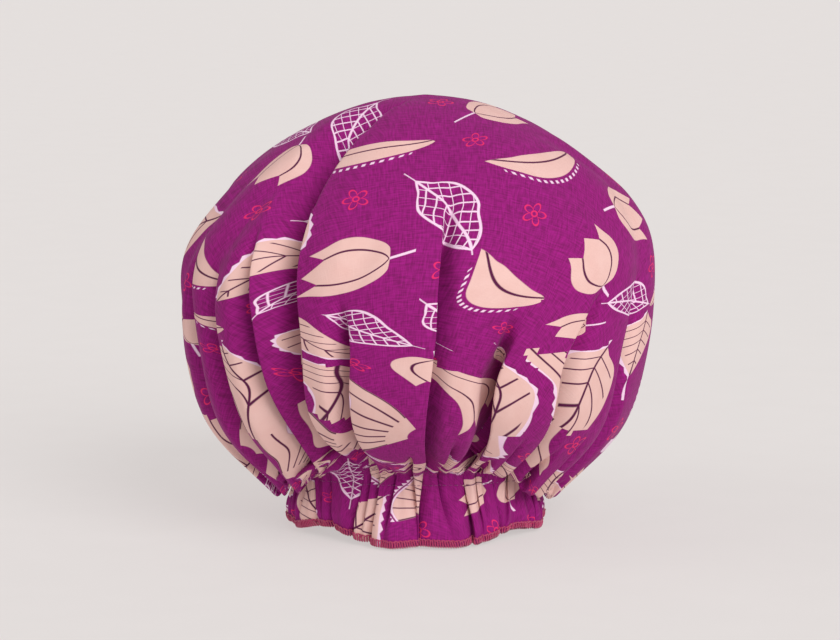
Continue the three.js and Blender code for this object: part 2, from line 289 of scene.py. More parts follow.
draw = np.random.default_rng(FOLD_SEED)
creases = [row + (row[3], LONG_COLUMNS, RUFFLE_KEEPS[k % 2]) for k, row in enumerate(CREASES)]
whole_turn = np.array([360, 360, 360, 0])
for here, after in zip(CREASES, CREASES[1:] + CREASES[:1]):
    here_path = np.array(here[:4])
    gap = np.array(after[:4]) - here_path + whole_turn * (after[1] < here[1])
    between = int((gap[1] - LONG_WIDTH) // SHORT_ROOM)
    for place in range(between):
        across_gap = (place + 1 + draw.uniform(-0.12, 0.12)) / (between + 1)
        start, middle, low, path_top = here_path + gap * across_gap
        rise = draw.uniform(*SHORT_RISES)
        depth = draw.uniform(*SHORT_DEPTHS)
        lean = draw.choice([-1.0, 1.0])
        begins = run[neck] - rise
        creases.append((start, middle, low, begins, begins + 0.7 * rise, depth, lean,
                        *SHORT_HOLLOW, path_top, SHORT_COLUMNS, 0.0))
creases.sort(key=lambda crease: crease[1])
sway = draw.uniform(0, 2 * math.pi, len(creases))
print(len(creases) - len(CREASES), "short creases between them")

# %% [markdown]
# Cloth that is pulled two ways also has soft dents away from its creases. Each one here is a
# shallow trough along a straight line on the crown, deepest in the middle of its length.

# %% Lay the soft dents
# azimuth in degrees and mm from the top at both ends, then depth and width in mm
DENTS = [
    (-70, 70, -82, 180, 4, 9), (-50, 60, -60, 175, 4, 9), (-88, 85, -97, 190, 3.5, 9),
    (12, 35, 2, 95, 3, 12), (20, 110, 8, 120, 3, 9), (45, 95, 62, 140, 2, 14),
    (80, 95, 62, 185, 3.5, 12), (30, 130, 36, 175, 2, 10), (-12, 120, -18, 175, 2.5, 9),
    (95, 60, 112, 150, 3, 12), (150, 50, 140, 150, 3, 12), (-120, 60, -135, 140, 3, 12),
    (-160, 70, -172, 160, 2.5, 12), (-8, 60, -20, 110, 2, 12), (64, 60, 84, 100, 3, 10),
]
DENT_FADE = 14


def turned(azimuth):
    """An angle in degrees brought to the range from -180 to 180."""
    return (azimuth + 180) % 360 - 180


def dented(azimuth, s, radius):
    """How far the soft dents pull the cloth in at one ring."""
    depth = np.zeros(len(azimuth))
    for turn_a, run_a, turn_b, run_b, deep, width in DENTS:
        t = np.clip((s - run_a) / (run_b - run_a), 0, 1)
        across = np.radians(turned(azimuth - turn_a - (turn_b - turn_a) * t)) * radius
        past = max(run_a - s, s - run_b, 0)
        swell = deep * math.sin(math.pi * (0.15 + 0.7 * t))
        depth += swell * np.exp(-(across / width) ** 2 - (past / DENT_FADE) ** 2)
    return depth


print(len(DENTS), "soft dents")

# %% [markdown]
# A crease is a bundle of mesh columns that is squeezed into a narrow mouth and pushed inwards.
# The next function says where one lies at a given ring and how deep it is there. Close to the
# elastic all tucks are drawn together to one small depth, and in the ruffle they open again.

# %% Where a crease crosses a ring
# mm from the top, mm above the neck, widths and depths in mm, and degrees for the sideways sway
MIDDLE = 205
MIDDLE_BAND = 10
WAVER = 0.9
WAVER_LENGTH = 19
MOUTH = 3.0
NECK_DEPTH = 5.0
DRAWN_TOGETHER = (26, 4)
HOLLOW_ENDS = 25
RUFFLE_MOUTH = 4.0
RUFFLE_DEPTH = 12.0
RUFFLE_SLANT = 4.0
LEAST_PANEL = 0.4


def below_neck(ring):
    """How far down the ruffle a ring lies: 0 at the neck and above it, 1 at the hem."""
    return max(0, run[ring] - run[neck]) / ruffle_length


def crease_at(number, ring):
    """A crease at one ring: its columns, azimuth, mouth, depth, lean and hollow."""
    (start, middle, low, begins, full_at, depth, lean,
     hollow, hollow_width, path_top, wide, keeps) = creases[number]
    s = run[ring]
    at_neck = run[neck]
    grown = ease(s, begins, full_at)
    azimuth = (start + (middle - start) * ease(s, path_top, MIDDLE)
               + (low - middle) * ease(s, MIDDLE + MIDDLE_BAND, at_neck))
    azimuth += WAVER * grown * math.sin(s / WAVER_LENGTH + sway[number])
    full = math.radians(wide / COLUMNS * 360) * side[ring][0]
    mouth = full + (min(MOUTH, full) - full) * grown
    drawn = ease(s, at_neck - DRAWN_TOGETHER[0], at_neck - DRAWN_TOGETHER[1])
    tuck = depth * grown * (1 - drawn) + min(depth, NECK_DEPTH) * drawn
    below = below_neck(ring)
    if below:
        mouth = MOUTH + (full + (RUFFLE_MOUTH - full) * keeps - MOUTH) * below
        tuck += (RUFFLE_DEPTH * keeps - tuck) * below
        azimuth += RUFFLE_SLANT * below * math.sin(sway[number])
        lean *= 1 - 0.6 * below
    hollow = hollow * grown * (1 - ease(s, at_neck - HOLLOW_ENDS, at_neck))
    centre = ((start + 2 * middle + low) / 4 + 180) / 360 * COLUMNS
    return centre, wide, azimuth, mouth, tuck, lean * grown, hollow, hollow_width


def panel_azimuths(crossed, ring):
    """Where the panels end, as (column, azimuth) at both edges of every crease."""
    edges = []
    for centre, wide, azimuth, mouth, *_ in crossed:
        half = math.degrees(mouth / 2 / side[ring][0])
        edges += [(centre - wide / 2, azimuth - half), (centre + wide / 2, azimuth + half)]
    edges = np.array(sorted(edges))
    for k in range(1, len(edges) - 1, 2):
        clash = edges[k, 1] + LEAST_PANEL - edges[k + 1, 1]
        if clash > 0:
            edges[k:k + 2, 1] += (-clash / 2, clash / 2)
    return np.vstack([edges[-1] - (COLUMNS, 360), edges, edges[0] + (COLUMNS, 360)])


widest_panel = np.diff(panel_azimuths([crease_at(k, neck) for k in range(len(creases))], neck)[:, 1])
print("widest panel at the neck:", round(float(widest_panel.max()), 1), "degrees")

# %% [markdown]
# At the elastic the cloth also crinkles finely, and the ruffle has slow waves. Both are sums of
# sines round the cap, and a second sine inside the first makes them uneven.

# %% Gathers at the elastic
GATHERS_GROW = (30, 3)  # mm above the neck
GATHER_DEPTH = 1.4
WAVE_DEPTH = 2.0


def gathers(azimuth, ring):
    """Small crinkles at the elastic and the slow waves of the ruffle."""
    turn = np.radians(azimuth)
    below = below_neck(ring)
    near = ease(run[ring], run[neck] - GATHERS_GROW[0], run[neck] - GATHERS_GROW[1])
    near *= 1 - 0.6 * below
    fine = 0.55 * np.sin(57 * turn + 1.3 * np.sin(5 * turn + 0.6))
    fine += 0.45 * np.sin(37 * turn + 2 + 1.1 * np.sin(3 * turn))
    waves = 1 + np.sin(9 * turn + 0.8 + np.sin(4 * turn))
    return near * GATHER_DEPTH * (1 - fine) + below * WAVE_DEPTH * waves


sampled = gathers(np.arange(360.0), neck)
print("crinkles at the neck up to", round(float(sampled.max()), 1), "mm deep")

# %% [markdown]
# Now one ring of cloth can be laid. Its columns are spread over the panels, pushed in by creases,
# dents and gathers, and slid sideways where a crease leans. The neck rides up at the front, the
# top leans a little to the right, and the hem rides up in two places beside the front.

# %% Lay one ring
# heights and lengths in mm; the front line fades to the side line between two azimuths
FULL_FROM = 32
FEWEST_COLUMNS = 15
FRONT_LIFT = 9.0
LIFT_ENDS = 190
TOP_LEAN = 4.5
LEAN_GROWS = (118, 168)
FRONT_FADES = (20, 65)
HOLLOW_STEP = 1.5
HOLLOW_ABOVE = 0.15
# azimuth and width in degrees, then how far up and how far in, in mm
HEM_RISES = [(-49, 17, 4.5, 5.0), (54, 15, 2.5, 2.0)]


def columns_of(ring):
    """Columns in a ring: near the top they halve as the ring gets shorter."""
    count, full_from = COLUMNS, FULL_FROM
    while ring < full_from and count > FEWEST_COLUMNS:
        count //= 2
        full_from //= 2
    return count if ring else 1


def creased(depth, column, azimuth, crossed, radius):
    """Adds to how far each column is pushed in, and returns how far it slides sideways."""
    slide = np.zeros(len(column))
    for centre, wide, at, _, tuck, lean, hollow, hollow_width in crossed:
        inside = ((column - centre + COLUMNS / 2) % COLUMNS - COLUMNS / 2) / (wide / 2)
        bump = np.cos(np.clip(inside, -1, 1) * math.pi / 2) ** 2
        depth += tuck * bump
        slide += lean * tuck * bump
        beside = np.radians(turned(azimuth - at)) * radius
        lower_side = ease(-beside * np.sign(lean), -HOLLOW_STEP, HOLLOW_STEP) if lean else 1.0
        under = HOLLOW_ABOVE + (1 - HOLLOW_ABOVE) * lower_side
        depth += hollow * under * np.clip(1 - np.abs(beside) / hollow_width, 0, 1) ** 1.4
    return slide


def ring_points(ring):
    """One ring of the cap's cloth, with its creases."""
    count = columns_of(ring)
    if count == 1:
        return np.array([[TOP_LEAN, 0, side[0][1]]])
    column = np.arange(count) * (COLUMNS // count)
    radius = side[ring][0]
    crossed = [crease_at(k, ring) for k in range(len(creases))]
    edges = panel_azimuths(crossed, ring)
    azimuth = np.interp(column, edges[:, 0], edges[:, 1])
    depth = dented(azimuth, run[ring], radius) + gathers(azimuth, ring)
    slide = creased(depth, column, azimuth, crossed, radius)
    rises = np.zeros(count)
    past_neck = max(0, run[ring] - run[neck])
    for at, width, up, inward in HEM_RISES:
        near = np.exp(-(turned(azimuth - at) / width) ** 2) * past_neck / ruffle_length
        rises += up * near
        depth += inward * near

    facing = (1 - ease(np.abs(turned(azimuth)), *FRONT_FADES))[:, None]
    line = side[ring] + (front[ring] - side[ring]) * facing
    out = side_out[ring] + (front_out[ring] - side_out[ring]) * facing
    out /= np.linalg.norm(out, axis=1)[:, None]
    r, z = (line - depth[:, None] * out).T
    turn = np.radians(azimuth) + slide / radius
    height = line[:, 1]
    low = side[neck][1]
    lifted = height / low if ring > neck else 1 - ease(height, low, LIFT_ENDS)
    x = r * np.sin(turn) + TOP_LEAN * ease(height, *LEAN_GROWS)
    return np.stack([x, -r * np.cos(turn), z + rises + FRONT_LIFT * lifted * np.cos(turn)], 1)


rows = [ring_points(ring) for ring in range(len(run))]
row_sizes = [len(row) for row in rows]
print(len(rows), "rings of up to", max(row_sizes), "points")

# %% Knit the rings into one cloth
first = np.concatenate([[0], np.cumsum(row_sizes)])
ring_of = np.repeat(np.arange(len(rows)), row_sizes)
laid = np.vstack(rows)
faces = []
for ring in range(1, len(rows)):
    above, here = row_sizes[ring - 1], row_sizes[ring]
    a, b = int(first[ring - 1]), int(first[ring])
    for j in range(here):
        k = (j + 1) % here
        if above == 1:
            faces.append((a, b + j, b + k))
        elif above == here:
            faces.append((a + j, b + j, b + k, a + k))
        elif j % 2:
            faces.append((a + (j // 2 + 1) % above, b + j, b + k))
        else:
            faces.append((a + j // 2, b + j, b + k))
            faces.append((a + j // 2, b + k, a + (j // 2 + 1) % above))
print(len(laid), "points and", len(faces), "faces in the cloth")

# %% [markdown]
# ## How the cloth settles
# Folds laid by a formula look ironed. A short cloth simulation makes them slack: the rest shape
# is the cloth before it was gathered, every ring opened out to its own length and a little more,
# so the spare cloth buckles. A light air pressure stands in for whatever fills the crown, the
# band at the elastic is pinned, and no point may stray far from where it was laid.

# %% Open the cloth out, ring by ring
SPARE_GROWS = (60, 20)  # from mm below the top to mm above the neck
LEAST_DROP = 0.2


def opened(spare_top=1.0, spare_neck=1.0):
    """The ungathered cloth as a smooth bell, and the radius and height of its rings."""
    bell = np.zeros_like(laid)
    radius = np.zeros(len(rows))
    for ring, row in enumerate(rows):
        strides = np.linalg.norm(np.roll(row, -1, axis=0) - row, axis=1)
        around = max(strides.sum(), 1e-9)
        grown = ease(run[ring], SPARE_GROWS[0], run[neck] - SPARE_GROWS[1])
        spare = spare_top + (spare_neck - spare_top) * grown
        radius[ring] = around * spare / (2 * math.pi) if ring else 0
        turn = (np.cumsum(strides) - strides) / around * 2 * math.pi
        bell[first[ring]:first[ring + 1], 0] = radius[ring] * np.sin(turn)
        bell[first[ring]:first[ring + 1], 1] = -radius[ring] * np.cos(turn)
    step = np.diff(run)
    drop = np.sqrt(np.maximum(step ** 2 - np.diff(radius) ** 2, (LEAST_DROP * step) ** 2))
    height = np.concatenate([[0], -np.cumsum(drop)])
    bell[:, 2] = height[ring_of]
    return bell, radius, height


bell, bell_radius, bell_height = opened()
print("opened out, the hem is", round(2 * math.pi * bell_radius[-1]), "mm round")

# %% Let it settle
SPARE_TOP = 1.02
SPARE_NECK = 1.2
PINNED_BAND = 8
SETTLE_FRAMES = 16
SETTLE_CAP = 4.5
HEM_CLEAR = 1.1


def settled():
    """The laid cloth after a short simulation."""
    trial = piece("settling", laid, faces)
    trial.shape_key_add(name="laid")
    rest = trial.shape_key_add(name="opened")
    rest.data.foreach_set("co", (opened(SPARE_TOP, SPARE_NECK)[0] * MM).ravel())
    pinned = trial.vertex_groups.new(name="elastic")
    at_elastic = np.flatnonzero(np.abs(run[ring_of] - run[neck]) < PINNED_BAND)
    pinned.add(at_elastic.tolist(), 1.0, "REPLACE")
    cloth = trial.modifiers.new("cloth", "CLOTH")
    cloth.collision_settings.use_collision = False
    cloth.point_cache.frame_end = SETTLE_FRAMES
    wear = cloth.settings
    wear.quality = 6
    wear.mass = 0.1
    wear.tension_stiffness = 15
    wear.compression_stiffness = 15
    wear.shear_stiffness = 5
    wear.bending_model = "LINEAR"
    wear.bending_stiffness = 0.3
    wear.air_damping = 2
    wear.vertex_group_mass = pinned.name
    wear.use_pressure = True
    wear.uniform_pressure_force = 1.5
    wear.effector_weights.gravity = 0
    wear.rest_shape_key = rest
    for frame_number in range(1, SETTLE_FRAMES + 1):
        scene.frame_set(frame_number)
    mesh = trial.evaluated_get(bpy.context.evaluated_depsgraph_get()).to_mesh()
    moved = np.empty(len(laid) * 3)
    mesh.vertices.foreach_get("co", moved)
    bpy.data.objects.remove(trial)
    scene.frame_set(1)
    move = moved.reshape(-1, 3) / MM - laid
    far = np.linalg.norm(move, axis=1)[:, None]
    return laid + move * np.tanh(far / SETTLE_CAP) * SETTLE_CAP / np.maximum(far, 1e-6)


shape = settled()
shape[:, 2] = np.maximum(shape[:, 2], HEM_CLEAR)
moved_by = np.linalg.norm(shape - laid, axis=1)
print("settled by", round(float(moved_by.mean()), 2), "mm on average")

# %% [markdown]
# ## Where the print lies
# The cloth was printed flat and sewn afterwards, so the print has to follow the cloth into its
# folds and out again without stretching. The opened bell is close to the flat cloth. Motifs are
# strewn over it at a fair distance from each other: large sprays first, then small blossoms in
# the room that is left.

# %% Strew the motifs
SPRAY_KINDS = 5
SPRAY_SHARES = (0.28, 0.16, 0.24, 0.12, 0.2)
SPRAY_GAP = 48.0
BLOSSOM_GAP = 32.0
BLOSSOM_APART = 52.0
PRINT_SEED = 8

strew = np.random.default_rng(PRINT_SEED)
sprays = []
for point in strew.permutation(len(bell)):
    if (np.linalg.norm(bell[sprays] - bell[point], axis=1) > SPRAY_GAP).all():
        sprays.append(point)
blossoms = []
for point in strew.permutation(len(bell)):
    clear = (np.linalg.norm(bell[sprays] - bell[point], axis=1) > BLOSSOM_GAP).all()
    if clear and (np.linalg.norm(bell[blossoms] - bell[point], axis=1) > BLOSSOM_APART).all():
        blossoms.append(point)
motifs = np.array(sprays + blossoms)
spray_kind = strew.choice(SPRAY_KINDS, len(sprays), p=SPRAY_SHARES)
kind = np.concatenate([spray_kind, np.full(len(blossoms), SPRAY_KINDS)])
print(len(sprays), "sprays and", len(blossoms), "blossoms")

# %% [markdown]
# A motif may lie at any angle. Of eighteen ways to lie, each takes the one with the most room to
# its near neighbours, and it grows or shrinks a little to fill that room.

# %% Turn each motif to fit
# half the width and length of each drawing below, in mm, in the order of the drawings
HALF_SIZES = np.array([(13.5, 21), (9, 23), (12, 22), (10, 19), (21, 15), (6.5, 6.5)])
WAYS = 18
SPRAY_REACH = 15.0
NEIGHBOURS = 1.7 * SPRAY_GAP
SIZES = (0.85, 1.45)

motif_turn = np.arctan2(bell[motifs, 0], -bell[motifs, 1])
motif_ring = np.clip(ring_of[motifs], 1, len(rows) - 2)
slope = np.stack([bell_radius[motif_ring - 1] - bell_radius[motif_ring + 1],
                  bell_height[motif_ring - 1] - bell_height[motif_ring + 1]], 1)
slope /= np.linalg.norm(slope, axis=1)[:, None]
sine, cosine = np.sin(motif_turn), np.cos(motif_turn)
rightward = np.stack([cosine, sine, 0 * sine], 1)
upward = np.stack([slope[:, 0] * sine, -slope[:, 0] * cosine, slope[:, 1]], 1)

motif_reach = np.where(kind < SPRAY_KINDS, SPRAY_REACH, 0)
ways = np.linspace(0, math.pi, WAYS, endpoint=False)
spin = np.zeros(len(motifs))
size = np.ones(len(motifs))
for number, point in enumerate(motifs):
    apart = bell[motifs] - bell[point]
    distance = np.linalg.norm(apart, axis=1)
    close = (distance > 0) & (distance < NEIGHBOURS)
    flat = np.stack([apart @ rightward[number], apart @ upward[number]], 1)[close]
    space = (distance + motif_reach[number] - motif_reach)[close] / 2
    sideways = np.outer(np.cos(ways), flat[:, 0]) - np.outer(np.sin(ways), flat[:, 1])
    endways = np.outer(np.sin(ways), flat[:, 0]) + np.outer(np.cos(ways), flat[:, 1])
    half_wide, half_long = HALF_SIZES[kind[number]]
    extent = np.hypot(sideways * half_wide, endways * half_long) / distance[close] / space
    tightest = extent.max(axis=1)
    spin[number] = ways[tightest.argmin()] + strew.choice([0, math.pi])
    if kind[number] < SPRAY_KINDS:
        size[number] = np.clip(1 / tightest.min(), *SIZES)
print("sprays are drawn at", round(size.min(), 2), "to", round(size.max(), 2), "of their size")

# %% [markdown]
# Every face of the cloth belongs to the motif next to it, and its corners are mapped to that
# motif's own tile. The seams between two motifs mostly fall in the plain ground. Where room is
# short, as in the gathers, one motif is cut off where the next begins. A second map runs straight
# with the threads, for the weave.

# %% Map the cloth
TILE = 100.0
TILE_EDGE = 0.48

middles = np.array([bell[list(face)].mean(axis=0) for face in faces])
to_motif = np.linalg.norm(middles[:, None, :] - bell[motifs][None], axis=2) - motif_reach
owner = np.repeat(to_motif.argmin(axis=1), [len(face) for face in faces])
corner = np.concatenate(faces)

offset = bell[corner] - bell[motifs[owner]]
local_x = (offset * rightward[owner]).sum(axis=1)
local_y = (offset * upward[owner]).sum(axis=1)
spin_cos, spin_sin = np.cos(spin[owner]), np.sin(spin[owner])
drawn_x = spin_cos * local_x - spin_sin * local_y
drawn_y = spin_sin * local_x + spin_cos * local_y
drawn = np.stack([drawn_x, drawn_y], 1) / size[owner][:, None] / TILE
print_map = np.clip(drawn, -TILE_EDGE, TILE_EDGE) + 0.5
print_map[:, 0] += kind[owner]

round_share = (np.arange(len(laid)) - first[ring_of]) / np.array(row_sizes)[ring_of]
thread_turn = round_share * 2 * math.pi
thread_way = np.stack([np.sin(thread_turn), np.cos(thread_turn)], 1)
thread_map = (thread_way * run[ring_of][:, None] / TILE)[corner]
print(len(corner), "face corners mapped")

# %% [markdown]
# ## Printed cotton
# The cloth is plain woven cotton, dyed purple and printed with leaves and blossoms in blush,
# pale pink, plum and crimson. Each motif is a small drawing in millimetres on its own tile: a
# half-width that changes along its length makes a leaf, and a thin line is wherever a distance
# is near zero. Such drawings stay sharp at any size, and need no picture.

# %% Tools that draw a motif
EDGE = 0.15
# half-width of a leaf along its length, both from 0 to 1
SHAPES = {"broad": [(0, 0), (0.1, 0.3), (0.36, 1), (0.7, 0.72), (1, 0)],
          "blade": [(0, 0), (0.2, 0.75), (0.5, 1), (0.8, 0.6), (1, 0)],
          "bud": [(0, 0.2), (0.15, 0.75), (0.45, 1), (0.8, 0.85), (1, 0.8)]}


def leaf(tree, x, y, half_length, half_width, shape):
    """How far a point lies inside a leaf's edge, in mm, measured across the leaf."""
    along = node(tree, "MapRange", y, -half_length, half_length, 0.0, 1.0)
    width = node(tree, "FloatCurve", 1.0, along)
    mapping = width.node.mapping
    curve = mapping.curves[0]
    points = SHAPES[shape]
    curve.points[0].location = points[0]
    curve.points[1].location = points[-1]
    for place in points[1:-1]:
        curve.points.new(*place)
    mapping.update()
    half = node(tree, "Math", width, half_width, -2 * EDGE, operation="MULTIPLY_ADD")
    aside = node(tree, "Math", x, operation="ABSOLUTE")
    return node(tree, "Math", half, aside, operation="SUBTRACT")


def filled(tree, distance, low=-EDGE):
    """A soft-edged mask of where a distance is above low."""
    return node(tree, "MapRange", distance, low, low + 2 * EDGE, 0.0, 1.0)


def lined(tree, distance, width):
    """A mask of a line where a distance is near zero."""
    gap = node(tree, "Math", distance, operation="ABSOLUTE")
    return node(tree, "MapRange", gap, width / 2, width / 2 + 2 * EDGE, 1.0, 0.0)


def both(tree, *masks):
    """Where all masks hold."""
    held = masks[0]
    for mask in masks[1:]:
        held = node(tree, "Math", held, mask, operation="MULTIPLY")
    return held


def either(tree, *masks):
    """Where any mask holds."""
    held = masks[0]
    for mask in masks[1:]:
        held = node(tree, "Math", held, mask, operation="MAXIMUM")
    return held


def slanted(tree, x, y, slope, gap):
    """Distance to the nearest of a row of slanted veins, gap mm apart."""
    aside = node(tree, "Math", x, operation="ABSOLUTE")
    rise = node(tree, "Math", aside, slope, y, operation="MULTIPLY_ADD")
    return node(tree, "Math", rise, gap / 2, operation="PINGPONG")


print(len(SHAPES), "leaf shapes:", ", ".join(SHAPES))

# %% [markdown]
# Each drawing takes a place in millimetres on its tile and gives a mask for each of its inks.
# The numbers in them are lengths in millimetres, and slopes.

# %% Three leaves
def broad_leaf(tree, x, y):
    """A broad blush leaf with plum veins and a pale scalloped rim on one side."""
    depth = leaf(tree, x, y, 21, 12.5, "broad")
    body = filled(tree, depth)
    inner = filled(tree, depth, 1.6)
    veins = both(tree, lined(tree, slanted(tree, x, y, -0.7, 7.0), 0.45), inner)
    rib = both(tree, lined(tree, x, 0.6), body)
    ripple = node(tree, "Math", y, 2.2, operation="PINGPONG")
    scallop = node(tree, "Math", ripple, 0.55, 0.7, operation="MULTIPLY_ADD")
    rim = filled(tree, node(tree, "Math", depth, scallop, operation="ADD"))
    right = filled(tree, x, 0.2)
    return {"blush": body, "plum": either(tree, veins, rib), "pale": both(tree, rim, right)}


def blade_leaf(tree, x, y):
    """A long bent blush leaf with a plum rib and a dotted pale edge."""
    square = node(tree, "Math", y, y, operation="MULTIPLY")
    bow = node(tree, "Math", square, -0.016, x, operation="MULTIPLY_ADD")
    bent = node(tree, "Math", bow, 4.0, operation="ADD")
    depth = leaf(tree, bent, y, 23, 6.5, "blade")
    body = filled(tree, depth)
    rib_way = node(tree, "Math", bent, 1.6, operation="SUBTRACT")
    rib = both(tree, lined(tree, rib_way, 0.55), body)
    dots = lined(tree, node(tree, "Math", y, 1.3, operation="PINGPONG"), 0.9)
    edge = lined(tree, node(tree, "Math", depth, 1.9, operation="ADD"), 1.0)
    left = node(tree, "MapRange", bent, -0.6, -0.2, 1.0, 0.0)
    endways = node(tree, "Math", y, operation="ABSOLUTE")
    length = node(tree, "MapRange", endways, 18.0, 18.4, 1.0, 0.0)
    return {"blush": body, "plum": rib, "pale": both(tree, dots, edge, left, length)}


def line_leaf(tree, x, y):
    """A leaf drawn in pale lines only."""
    depth = leaf(tree, x, y, 19, 9.5, "broad")
    body = filled(tree, depth)
    shown = node(tree, "MapRange", depth, -2.0, -1.6, 0.0, 1.0)
    rim = both(tree, lined(tree, depth, 0.7), shown)
    rib = both(tree, lined(tree, x, 0.6), body)
    veins = lined(tree, slanted(tree, x, y, -0.8, 4.6), 0.4)
    net = lined(tree, slanted(tree, x, y, 1.5, 6.2), 0.25)
    return {"pale": either(tree, rim, rib, both(tree, either(tree, veins, net), body))}


# %% A bud, a fan and a blossom
def tulip_bud(tree, x, y):
    """A blush bud of three petals on a pale stem."""
    depth = leaf(tree, x, y, 15, 12, "bud")
    points = node(tree, "Math", x, 5.2, operation="PINGPONG")
    tips = node(tree, "Math", points, -1.3, 13.0, operation="MULTIPLY_ADD")
    crest = node(tree, "Math", tips, y, operation="SUBTRACT")
    body = both(tree, filled(tree, depth), filled(tree, crest), filled(tree, y, -14.6))
    petal_way = node(tree, "Math", depth, 5.0, operation="SUBTRACT")
    petals = both(tree, lined(tree, petal_way, 0.5), body)
    square = node(tree, "Math", y, y, operation="MULTIPLY")
    bow = node(tree, "Math", square, -0.006, x, operation="MULTIPLY_ADD")
    stem_line = lined(tree, node(tree, "Math", bow, 1.2, operation="ADD"), 0.7)
    under_bud = node(tree, "MapRange", y, -14.6, -14.2, 1.0, 0.0)
    stem = both(tree, stem_line, under_bud, filled(tree, y, -26.0))
    return {"blush": body, "plum": petals, "pale": stem}


def fan_leaf(tree, x, y):
    """A blush fan with plum rays and a pale lace rim."""
    low = node(tree, "Math", y, 16.0, operation="ADD")
    square = node(tree, "Math", x, x, operation="MULTIPLY")
    both_squares = node(tree, "Math", low, low, square, operation="MULTIPLY_ADD")
    far = node(tree, "Math", both_squares, operation="SQRT")
    angle = node(tree, "Math", x, low, operation="ARCTAN2")
    opening = node(tree, "Math", angle, operation="ABSOLUTE")
    wedge = node(tree, "MapRange", opening, 0.72, 0.735, 1.0, 0.0)
    within = node(tree, "MapRange", far, 27.8, 28.1, 1.0, 0.0)
    body = both(tree, within, filled(tree, far, 4.0), wedge)
    ray_angle = node(tree, "Math", angle, 0.12, operation="PINGPONG")
    ray = node(tree, "Math", ray_angle, far, operation="MULTIPLY")
    rays = both(tree, lined(tree, ray, 0.4), body, filled(tree, far, 11.0))
    lobes = node(tree, "Math", angle, 0.045, operation="PINGPONG")
    lobe_edge = node(tree, "Math", lobes, -40.0, 31.4, operation="MULTIPLY_ADD")
    lace_out = filled(tree, node(tree, "Math", lobe_edge, far, operation="SUBTRACT"))
    eyelet = lined(tree, node(tree, "Math", far, 29.2, operation="SUBTRACT"), 0.5)
    no_eyelet = node(tree, "Math", 1.0, eyelet, operation="SUBTRACT")
    lace = both(tree, lace_out, filled(tree, far, 27.8), wedge, no_eyelet)
    return {"blush": body, "plum": rays, "pale": lace}


def blossom(tree, x, y):
    """A small five-petalled blossom in crimson line."""
    square = node(tree, "Math", x, x, operation="MULTIPLY")
    both_squares = node(tree, "Math", y, y, square, operation="MULTIPLY_ADD")
    far = node(tree, "Math", both_squares, operation="SQRT")
    angle = node(tree, "Math", x, y, operation="ARCTAN2")
    half_turns = node(tree, "Math", angle, 2.5, operation="MULTIPLY")
    lobes = node(tree, "Math", half_turns, operation="COSINE")
    full_lobes = node(tree, "Math", lobes, operation="ABSOLUTE")
    petal = node(tree, "Math", full_lobes, 4.2, 2.2, operation="MULTIPLY_ADD")
    outline = lined(tree, node(tree, "Math", far, petal, operation="SUBTRACT"), 0.75)
    heart = lined(tree, node(tree, "Math", far, 1.5, operation="SUBTRACT"), 0.6)
    return {"crimson": either(tree, outline, heart)}


MOTIFS = (broad_leaf, blade_leaf, tulip_bud, line_leaf, fan_leaf, blossom)
print(len(MOTIFS), "motifs:", ", ".join(motif.__name__ for motif in MOTIFS))

# %% [markdown]
# Cotton is matt, with a faint bloom at grazing angles from its loose fibres. Its threads lie
# about 0.35 mm apart, finer than a pixel of the render, so the weave is drawn a little over
# twice as coarse, as uneven threads rather than even lines. Ink lies on top of the dye, and the
# blush ink is a little cloudy.

# %% Dye, print and weave
GROUND = ("#a01680", "#7a0c5d")
BLUSH = ("#ecc6bf", "#e2b4ac")
PALE = "#f3d3ea"
PLUM = "#571241"
CRIMSON = "#e0286a"
THREAD_SPACING = 0.8  # mm, coarser than the real 0.35 so that the weave shows
THREAD_LENGTH = 9  # an uneven stretch of thread is this many spacings long
CLOUDS = 9.0  # to a tile of 100 mm

# woven, dyed and printed cotton: a matt surface with fine uneven threads
cotton, tree = new_material("plain_woven_printed_cotton")
drawing = node(tree, "SeparateXYZ", node(tree, "UVMap", uv_map="print"))
tile_y = node(tree, "Math", drawing.node.outputs[1], TILE, -TILE / 2, operation="MULTIPLY_ADD")
inks = {"pale": [], "blush": [], "plum": [], "crimson": []}
for number, motif in enumerate(MOTIFS):
    tile_x = node(tree, "Math", drawing, TILE, -TILE * (number + 0.5), operation="MULTIPLY_ADD")
    for ink, mask in motif(tree, tile_x, tile_y).items():
        inks[ink].append(mask)

threads = node(tree, "UVMap", uv_map="threads")
fine_scale = TILE / THREAD_SPACING
long_scale = fine_scale / THREAD_LENGTH
warp_way = node(tree, "Mapping", threads, sockets={"Scale": (fine_scale, long_scale, 1)})
weft_way = node(tree, "Mapping", threads, sockets={"Scale": (long_scale, fine_scale, 1)})
warp = node(tree, "TexNoise", warp_way, sockets={"Scale": 1.0, "Detail": 1.0})
weft = node(tree, "TexNoise", weft_way, sockets={"Scale": 1.0, "Detail": 1.0})
weave = node(tree, "Math", warp, weft, operation="ADD")
slub = node(tree, "MapRange", weave, 0.7, 1.3, 0.0, 1.0)

colour = node(tree, "Mix", sockets={0: slub, 6: linear(GROUND[1]), 7: linear(GROUND[0])},
              data_type="RGBA", out=2)
cloud = node(tree, "TexNoise", threads, sockets={"Scale": CLOUDS, "Detail": 2.0})
blush = node(tree, "Mix", sockets={0: cloud, 6: linear(BLUSH[1]), 7: linear(BLUSH[0])},
             data_type="RGBA", out=2)
tones = {"pale": linear(PALE), "blush": blush, "plum": linear(PLUM), "crimson": linear(CRIMSON)}
for ink, masks in inks.items():
    colour = node(tree, "Mix", sockets={0: either(tree, *masks), 6: colour, 7: tones[ink]},
                  data_type="RGBA", out=2)

